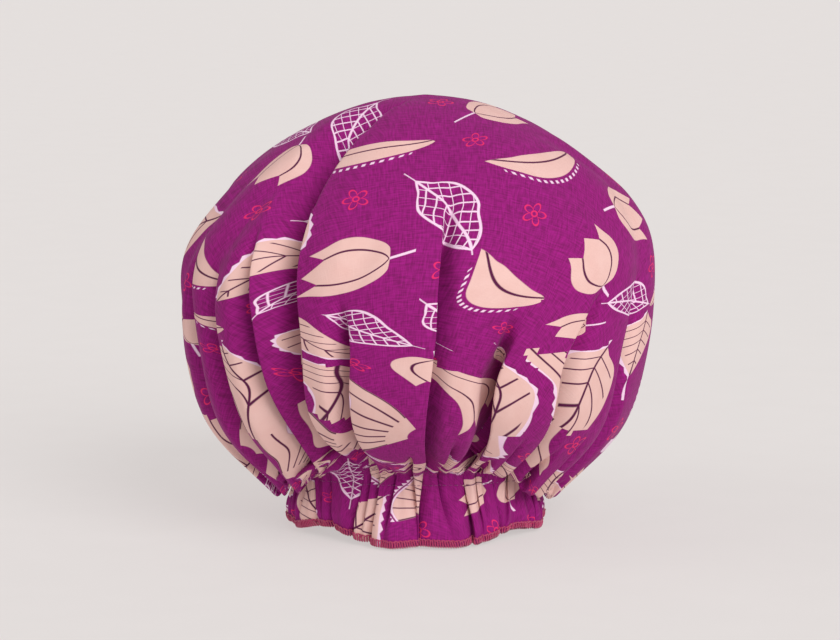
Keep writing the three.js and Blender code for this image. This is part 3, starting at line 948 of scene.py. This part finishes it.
relief = node(tree, "Bump", sockets={"Strength": 0.35, "Distance": 0.3 * MM, "Height": weave})
skin = node(tree, "BsdfPrincipled", sockets={
    "Base Color": colour, "Roughness": 0.82, "IOR": 1.47, "Specular IOR Level": 0.25,
    "Normal": relief,
    "Sheen Weight": 0.07, "Sheen Roughness": 0.4, "Sheen Tint": linear("#f2c6e6")})
node(tree, "OutputMaterial", skin)
print(cotton.name, "has", len(tree.nodes), "nodes")

# %% [markdown]
# ## The cloth itself
# Crown and ruffle are one cut of cloth on the real cap, so they are one piece here. The mesh
# gets the two maps, one level of subdivision, and the thickness of a thin cotton, laid inwards.

# %% Make the cloth
COTTON_THICKNESS = 0.35
COTTON_LEVELS = 1


def with_thickness(made, thickness, levels=0):
    """Subdivides a sheet, gives it thickness inwards, and keeps the result as its mesh."""
    if levels:
        finer = made.modifiers.new("finer", "SUBSURF")
        finer.levels = levels
        finer.render_levels = levels
    body = made.modifiers.new("thickness", "SOLIDIFY")
    body.thickness = thickness * MM
    body.offset = -1
    shown = made.evaluated_get(bpy.context.evaluated_depsgraph_get())
    sheet_mesh = made.data
    made.data = bpy.data.meshes.new_from_object(shown)
    made.modifiers.clear()
    made.data.name = made.name
    bpy.data.meshes.remove(sheet_mesh)


cloth = piece("cotton_cloth", shape, faces, cotton)
for name, places in (("print", print_map), ("threads", thread_map)):
    layer = cloth.data.uv_layers.new(name=name)
    layer.uv.foreach_set("vector", places.astype(np.float32).ravel())
normals = np.empty(len(shape) * 3)
cloth.data.vertex_normals.foreach_get("vector", normals)
normals = normals.reshape(-1, 3)
with_thickness(cloth, COTTON_THICKNESS, COTTON_LEVELS)
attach(cloth, "root")
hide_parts("crown_cloth", "ruffle")

# %% [markdown]
# ## The waterproof lining
# A thin milky film hangs inside the crown as a loose bag and is caught in the casing seam. It
# clears the bottoms of the cotton's folds, so its rings are drawn from the smallest radius of
# the cloth nearby. It shows only from below. Cast film is smooth and slightly glossy, and it
# lets some light through.

# %% The film's finish
FILM_WIDTH = 216
FILM_CLOUD = 3.6
FILM_RIPPLE = 1.2

# cast film: smooth, with a soft gloss, and milky in faint clouds
film, tree = new_material("cast_milky_film")
haze = node(tree, "TexNoise", sockets={"Scale": FILM_WIDTH / FILM_CLOUD, "Detail": 3.0})
milk = node(tree, "Mix", sockets={0: haze, 6: linear("#e4dee2"), 7: linear("#efeaec")},
            data_type="RGBA", out=2)
ripple = node(tree, "TexNoise", sockets={"Scale": FILM_WIDTH / FILM_RIPPLE, "Detail": 2.0})
relief = node(tree, "Bump", sockets={"Strength": 0.2, "Distance": 0.5 * MM, "Height": ripple})
skin = node(tree, "BsdfPrincipled", sockets={
    "Base Color": milk, "Roughness": 0.38, "IOR": 1.5, "Subsurface Weight": 0.1,
    "Normal": relief})
node(tree, "OutputMaterial", skin)
print(film.name, "has", len(tree.nodes), "nodes")

# %% Hang the film inside the crown
FILM_GAP = 2.5
FILM_COLUMNS = 240
FILM_STARTS = 4
FILM_LEAVES = 180
FILM_SPAN = math.cos(math.radians(11))
FILM_SMOOTHINGS = 6

film_turn = np.arange(FILM_COLUMNS) / FILM_COLUMNS * 2 * math.pi


def rounded(values):
    """Values round a ring, each averaged with its two neighbours."""
    return (np.roll(values, 1) + 2 * values + np.roll(values, -1)) / 4


def inside_of(ring):
    """A smooth ring just inside the innermost points of one ring of the cloth."""
    row = shape[first[ring]:first[ring + 1]]
    centre = np.array([row[:, 0].mean(), row[:, 1].mean()])
    flat = row[:, :2] - centre
    angle = np.arctan2(flat[:, 0], -flat[:, 1])
    near = np.cos(film_turn[:, None] - angle[None]) > FILM_SPAN
    radius = np.where(near, np.hypot(*flat.T)[None], np.inf).min(axis=1)
    height = np.where(near, row[:, 2][None], np.inf).min(axis=1)
    for _ in range(FILM_SMOOTHINGS):
        radius = rounded(radius)
        height = rounded(height)
    radius -= FILM_GAP
    x = centre[0] + radius * np.sin(film_turn)
    y = centre[1] - radius * np.cos(film_turn)
    return np.stack([x, y, height - FILM_GAP], 1)


film_rings = [inside_of(ring) for ring in range(FILM_STARTS, len(run)) if run[ring] < FILM_LEAVES]
film_last = film_rings[-1]
print(len(film_rings), "rings of film follow the cotton")

# %% [markdown]
# Lower down the film leaves the cotton and runs to the casing in small folds of its own. Where
# a fold of the cotton reaches in far, the film passes behind it.

# %% Lead the film to the casing
FILM_STEPS = 14
FILM_MOUTH = (55.6, 37.0)
FILM_FOLDS = 34
FILM_CRIMP = 0.8
FILM_BULGE = 7
FILM_FOLD_HEIGHT = 3.2
FILM_LEVEL = 8.0
FOLDS_FROM = FILM_LEAVES - 30
BEHIND_SMOOTHINGS = 4

mouth_r = FILM_MOUTH[0] + FILM_CRIMP * np.sin(FILM_FOLDS * film_turn)
mouth_z = FILM_MOUTH[1] + FRONT_LIFT * np.cos(film_turn)
film_mouth = np.stack([mouth_r * np.sin(film_turn), -mouth_r * np.cos(film_turn), mouth_z], 1)
crimps = np.sin(FILM_FOLDS * film_turn + 1.2 * np.sin(5 * film_turn))
low_folds = shape[(run[ring_of] > FOLDS_FROM) & (run[ring_of] < run[neck] - PINNED_BAND)]
fold_turn = np.arctan2(low_folds[:, 0], -low_folds[:, 1])
fold_radius = np.hypot(low_folds[:, 0], low_folds[:, 1])
beside = np.cos(film_turn[:, None] - fold_turn[None]) > FILM_SPAN
for step in range(1, FILM_STEPS + 1):
    t = step / FILM_STEPS
    film_ring = film_last + (film_mouth - film_last) * t
    film_ring[:, 2] += (FILM_BULGE + FILM_FOLD_HEIGHT * crimps) * math.sin(math.pi * t)
    level = np.abs(film_ring[:, 2][:, None] - low_folds[:, 2][None]) < FILM_LEVEL
    radius = np.hypot(film_ring[:, 0], film_ring[:, 1])
    cleared = fold_radius[None] - 2 * FILM_GAP
    behind = np.where(beside & level, cleared, radius[:, None]).min(axis=1)
    shrink = np.minimum(behind / radius, 1)
    for _ in range(BEHIND_SMOOTHINGS):
        shrink = np.minimum(shrink, rounded(shrink))
    if step < FILM_STEPS:
        film_ring[:, :2] *= shrink[:, None]
    film_rings.append(film_ring)
print(FILM_STEPS, "rings of film run to the casing")

# %% Make the lining
FILM_THICKNESS = 0.15
PEAK_RISE = 0.8

peak = np.array([[TOP_LEAN, 0, film_rings[0][:, 2].max() + PEAK_RISE]])
film_faces = [(0, 1 + j, 1 + (j + 1) % FILM_COLUMNS) for j in range(FILM_COLUMNS)]
for line in range(len(film_rings) - 1):
    a = 1 + line * FILM_COLUMNS
    b = a + FILM_COLUMNS
    for j in range(FILM_COLUMNS):
        k = (j + 1) % FILM_COLUMNS
        film_faces.append((a + j, b + j, b + k, a + k))
lining = piece("film_lining", np.vstack([peak] + film_rings), film_faces, film)
with_thickness(lining, FILM_THICKNESS)
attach(lining, "root")
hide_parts("waterproof_lining")

# %% [markdown]
# ## The casing and the elastic
# A cotton tape is sewn round the inside of the neck along both its edges, and a knitted elastic
# runs in the tunnel behind it. The elastic shortens the tape too, so the tape is crinkled. The
# tape bulges inwards over the elastic. Its cross-section is drawn once and swept round the neck,
# which is tilted like the solids: higher at the front.

# %% Make the tape
tape_low, tape_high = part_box("casing_tape")
NECK_MIDDLE = (tape_low[2] + tape_high[2]) / 2 / MM
TAPE_RADIUS = 51.3
TAPE_SECTION = [(3.9, 5.4), (2.2, 5.0), (0.9, 4.3), (0.25, 2.4), (0, 0),
                (0.25, -2.4), (0.9, -4.3), (2.2, -5.0), (3.9, -5.4)]
TAPE_STEPS = 720
TAPE_THICKNESS = 0.4
CRINKLE = 0.3
CRINKLES = 88
TAPE_WIDTH = 112
TAPE_FIBRE = 0.08


def swept(section, steps, radius):
    """A section of (outward, up) points swept round the tilted neck, with crinkles."""
    turn = np.linspace(0, 2 * math.pi, steps, endpoint=False)
    crinkle = CRINKLE * np.sin(CRINKLES * turn + 1.7 * np.sin(7 * turn))
    points = []
    for out, up in section:
        r = radius + out + crinkle
        z = NECK_MIDDLE + up + FRONT_LIFT * np.cos(turn)
        points.append(np.stack([r * np.sin(turn), -r * np.cos(turn), z], 1))
    return np.vstack(points)


def strip_faces(lines, steps):
    """Faces between neighbouring closed lines."""
    made = []
    for line in range(lines - 1):
        a, b = line * steps, (line + 1) * steps
        for j in range(steps):
            k = (j + 1) % steps
            made.append((a + j, a + k, b + k, b + j))
    return made


# woven cotton tape: matt, with the fuzz of its fibres
tape_cotton, tree = new_material("woven_cotton_tape")
coarse = node(tree, "TexNoise", sockets={"Scale": TAPE_WIDTH / TAPE_FIBRE, "Detail": 1.0})
dyed = node(tree, "Mix", sockets={0: coarse, 6: linear("#741566"), 7: linear("#8c1d7b")},
            data_type="RGBA", out=2)
relief = node(tree, "Bump", sockets={"Strength": 0.4, "Distance": 0.2 * MM, "Height": coarse})
skin = node(tree, "BsdfPrincipled", sockets={
    "Base Color": dyed, "Roughness": 0.85, "Normal": relief, "Sheen Weight": 0.2})
node(tree, "OutputMaterial", skin)

tape = piece("tape_casing", swept(TAPE_SECTION, TAPE_STEPS, TAPE_RADIUS),
             strip_faces(len(TAPE_SECTION), TAPE_STEPS), tape_cotton)
with_thickness(tape, -TAPE_THICKNESS)
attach(tape, "root")
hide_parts("casing_tape")

# %% [markdown]
# The elastic is one strip whose ends lap at the back, where a few zigzag stitches join them.
# Its ribs run along it. It starts inside the lap, drifts outwards and ends on top of its start.

# %% Make the elastic
ELASTIC_RADIUS = 52.3
ELASTIC_LAP = 14.0
ELASTIC_HALF = 4.0
ELASTIC_THICKNESS = 0.8
ELASTIC_DRIFT = 1.1
ELASTIC_RIBS = 6
RIB_HEIGHT = 0.1
ELASTIC_STEPS = 480
ELASTIC_WIDTH = 105
ELASTIC_FIBRE = 0.07

# knitted elastic: matt ecru yarn with the fuzz of its fibres
knit, tree = new_material("knitted_elastic")
loops = node(tree, "TexNoise", sockets={"Scale": ELASTIC_WIDTH / ELASTIC_FIBRE, "Detail": 1.0})
ecru = node(tree, "Mix", sockets={0: loops, 6: linear("#e2dccf"), 7: linear("#f3efe6")},
            data_type="RGBA", out=2)
relief = node(tree, "Bump", sockets={"Strength": 0.5, "Distance": 0.2 * MM, "Height": loops})
skin = node(tree, "BsdfPrincipled", sockets={
    "Base Color": ecru, "Roughness": 0.75, "Normal": relief})
node(tree, "OutputMaterial", skin)

height = np.linspace(-ELASTIC_HALF, ELASTIC_HALF, 4 * ELASTIC_RIBS + 1)
ribs = np.cos(height / ELASTIC_HALF * ELASTIC_RIBS * math.pi)
ridge = ELASTIC_THICKNESS / 2 + RIB_HEIGHT * ribs
outer_side = np.stack([ridge, height], 1)
inner_side = np.stack([-ridge, height], 1)
section = np.concatenate([outer_side, inner_side[::-1]])
lap = ELASTIC_LAP / ELASTIC_RADIUS
band_turn = np.linspace(math.pi - lap / 2, 3 * math.pi + lap / 2, ELASTIC_STEPS)
drift = ELASTIC_DRIFT * ease(band_turn, band_turn[-1] - 4 * lap, band_turn[-1] - lap)
band = []
for angle, out in zip(band_turn, ELASTIC_RADIUS + drift):
    r = out + section[:, 0]
    z = NECK_MIDDLE + section[:, 1] + FRONT_LIFT * math.cos(angle)
    band.append(np.stack([r * math.sin(angle), -r * math.cos(angle), z], 1))

count = len(section)
band_faces = strip_faces(ELASTIC_STEPS, count)
band_faces.append(tuple(range(count))[::-1])
band_faces.append(tuple(range((ELASTIC_STEPS - 1) * count, ELASTIC_STEPS * count)))
elastic = piece("knitted_elastic", np.vstack(band), band_faces, knit)
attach(elastic, "root")
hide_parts("elastic_band")
print("elastic:", round(2 * math.pi * ELASTIC_RADIUS + ELASTIC_LAP), "mm long")

# %% [markdown]
# ## Thread
# Three kinds of thread hold the cap together: the lockstitch along both edges of the casing,
# the zigzag over the elastic's lap, and the crimson overlock that binds the raw edge of the
# ruffle. Spun polyester has a soft gloss and a fine twist. Each thread is a round tube along a
# path, and the twist is a slanted ripple in its surface. The grooves of the twist are painted a
# darker tone, as painted shade.

# %% A round thread along a path
# across the hem's 132 mm a wave of this scale turns every 0.12 mm
TWIST_SCALE = 700.0


def tube(path, radius, sides=6, closed=False):
    """Points and faces of a round tube along a path, with closed ends if the path is open."""
    path = np.asarray(path, float)
    if closed:
        ahead = np.roll(path, -1, axis=0)
        behind = np.roll(path, 1, axis=0)
    else:
        ahead = np.vstack([path[1:], 2 * path[-1:] - path[-2:-1]])
        behind = np.vstack([2 * path[:1] - path[1:2], path[:-1]])
    along = ahead - behind
    along /= np.linalg.norm(along, axis=1)[:, None]
    spare = np.where(np.abs(along[:, 2:]) < 0.8, [[0, 0, 1.0]], [[1.0, 0, 0]])
    first_way = np.cross(along, spare)
    first_way /= np.linalg.norm(first_way, axis=1)[:, None]
    second_way = np.cross(along, first_way)
    turn = np.arange(sides) / sides * 2 * math.pi
    hoop = np.cos(turn)[None, :, None] * first_way[:, None]
    hoop = hoop + np.sin(turn)[None, :, None] * second_way[:, None]
    points = (path[:, None] + hoop * radius).reshape(-1, 3)
    count = len(path)
    made = []
    for i in range(count if closed else count - 1):
        a, b = i * sides, (i + 1) % count * sides
        for j in range(sides):
            k = (j + 1) % sides
            made.append((a + j, a + k, b + k, b + j))
    if not closed:
        made.append(tuple(range(sides))[::-1])
        made.append(tuple(range((count - 1) * sides, count * sides)))
    return points, made


def joined(tubes):
    """Several tubes as one set of points and faces."""
    points, made, start = [], [], 0
    for some, quads in tubes:
        points.append(some)
        made += [tuple(start + v for v in quad) for quad in quads]
        start += len(some)
    return np.vstack(points), made


def spun_thread(name, light, dark):
    """Spun polyester thread: a soft gloss, a fine twist, and painted shade in the twist's grooves.
    """
    material, tree = new_material(name)
    twist = node(tree, "TexWave", bands_direction="DIAGONAL", sockets={
        "Scale": TWIST_SCALE, "Distortion": 2.0, "Detail": 1.0})
    # painted shade: where the twist's ripple is low, in its grooves, the thread takes the darker
    # tone
    twist_tone_with_painted_shade = node(tree, "Mix", sockets={0: twist, 6: linear(dark), 7: linear(light)},
                data_type="RGBA", out=2)
    relief = node(tree, "Bump", sockets={"Strength": 0.4, "Distance": 0.1 * MM, "Height": twist})
    skin = node(tree, "BsdfPrincipled", sockets={
        "Base Color": twist_tone_with_painted_shade, "Roughness": 0.5, "IOR": 1.55, "Normal": relief, "Sheen Weight": 0.3})
    node(tree, "OutputMaterial", skin)
    return material


seam_thread = spun_thread("purple_spun_polyester", "#8f1a76", "#741460")
print(seam_thread.name, "has", len(seam_thread.node_tree.nodes), "nodes")

# %% [markdown]
# A lockstitch shows as short straight dashes with a small gap, where the thread dips into the
# cloth. Each row follows one ring of the cloth, in and out of its gathers.

# %% The lockstitch rows
STITCH_LENGTH = 2.3
STITCH_GAP = 0.7
STITCH_PARTS = 6
STITCH_RADIUS = 0.14
STITCH_LIFT = 0.12
# piece, the solid that it stands for, and the ring of the cloth that it runs along
SEAMS = [("lockstitch_upper", "casing_seam_upper", neck - 2),
         ("lockstitch_lower", "casing_seam_lower", neck + 1)]


def even_row(points, step):
    """A closed line taken at even steps, as weights on its own points, and its length."""
    strides = np.linalg.norm(np.roll(points, -1, axis=0) - points, axis=1)
    so_far = np.concatenate([[0], np.cumsum(strides)])
    count = int(so_far[-1] / step)
    at = np.arange(count) * so_far[-1] / count
    left = np.searchsorted(so_far, at, side="right") - 1
    share = (at - so_far[left]) / (so_far[left + 1] - so_far[left])
    return left, share[:, None], so_far[-1]


def lockstitches(ring):
    """A row of stitches that lies on the cloth along one of its rings."""
    this_ring = slice(first[ring], first[ring + 1])
    line = shape[this_ring] + normals[this_ring] * STITCH_LIFT
    left, share, _ = even_row(line, (STITCH_LENGTH + STITCH_GAP) / STITCH_PARTS)
    fine = line[left] * (1 - share) + line[(left + 1) % len(line)] * share
    sunk = normals[this_ring][left] * 2 * STITCH_RADIUS
    stitches = []
    for start in range(0, len(fine) - STITCH_PARTS, STITCH_PARTS):
        end = start + STITCH_PARTS - 1
        path = fine[start:end].copy()
        path[[0, -1]] -= sunk[[start, end - 1]]
        stitches.append(tube(path, STITCH_RADIUS))
    return joined(stitches)


for name, node_name, ring in SEAMS:
    seam = piece(name, *lockstitches(ring), seam_thread)
    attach(seam, "root")
    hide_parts(node_name)
    print(name, len(seam.data.polygons), "faces")

# %% The zigzag over the elastic's lap
ZIGZAG_TURNS = 9
ZIGZAG_RADIUS = 0.22
ZIGZAG_INSET = 0.3
ZIGZAG_SINK = 0.5

join_low, join_high = (np.array(corner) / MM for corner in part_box("elastic_join"))
join_x = np.linspace(join_low[0] + ZIGZAG_INSET, join_high[0] - ZIGZAG_INSET, ZIGZAG_TURNS)
join_y = np.full(ZIGZAG_TURNS, (join_low[1] + join_high[1]) / 2 - ZIGZAG_SINK)
upper_turns = np.arange(ZIGZAG_TURNS) % 2
join_z = np.where(upper_turns, join_high[2] - ZIGZAG_INSET, join_low[2] + ZIGZAG_INSET)
zigzag_path = np.stack([join_x, join_y, join_z], 1)
white_thread = spun_thread("white_spun_polyester", "#f6f2ea", "#ddd6ca")
zigzag = piece("zigzag_join", *tube(zigzag_path, ZIGZAG_RADIUS), white_thread)
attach(zigzag, "root")
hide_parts("elastic_join")
print("zigzag of", ZIGZAG_TURNS - 1, "stitches")

# %% [markdown]
# An overlock stitch wraps the raw edge: loops go round the hem, and a chain of thread runs along
# their upper ends on both faces. The loops are one long coil round the hem line, 1.25 mm apart.

# %% The overlocked hem
LOOP_PITCH = 1.25
LOOP_STEPS = 12
LOOP_RADIUS = 0.42
LOOP_SIDES = 5
LOOP_BULGE = 0.5
BITE = 3.2
BELOW_EDGE = 0.4
CHAIN_STAND = 0.35
CHAIN_WAVE = 0.25
CHAIN_RADIUS = 0.8 * LOOP_RADIUS
CHAIN_STRIDE = 4

hem_rows = slice(first[-2], first[-1])
above_rows = slice(first[-3], first[-2])
hem = shape[hem_rows]
hem_left, hem_share, hem_length = even_row(hem, LOOP_PITCH / LOOP_STEPS)


def on_hem(values):
    """Values along the hem line at every step of the coil."""
    return values[hem_left] * (1 - hem_share) + values[(hem_left + 1) % len(values)] * hem_share


edge = on_hem(hem)
up_cloth = on_hem(shape[above_rows] - hem)
up_cloth /= np.linalg.norm(up_cloth, axis=1)[:, None]
out_cloth = on_hem(normals[hem_rows])
phase = np.arange(len(edge)) / LOOP_STEPS * 2 * math.pi
loop_rise = (BITE - BELOW_EDGE) / 2 + (BITE + BELOW_EDGE) / 2 * np.cos(phase)
loop_stand = LOOP_BULGE * np.sin(phase) - COTTON_THICKNESS / 2
coil = edge + up_cloth * loop_rise[:, None] + out_cloth * loop_stand[:, None]
strands = [tube(coil, LOOP_RADIUS, LOOP_SIDES, True)]
chain_rise = BITE + CHAIN_WAVE * np.sin(phase / 2)
for stand in (CHAIN_STAND, -CHAIN_STAND - COTTON_THICKNESS):
    chain = edge + up_cloth * chain_rise[:, None] + out_cloth * stand
    strands.append(tube(chain[::CHAIN_STRIDE], CHAIN_RADIUS, LOOP_SIDES, True))
crimson_thread = spun_thread("crimson_spun_polyester", "#cc1f69", "#960f4c")
overlock = piece("overlocked_hem", *joined(strands), crimson_thread)
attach(overlock, "root")
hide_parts("hem_overlock")
print("hem", round(hem_length), "mm round,", len(edge) // LOOP_STEPS, "loops")
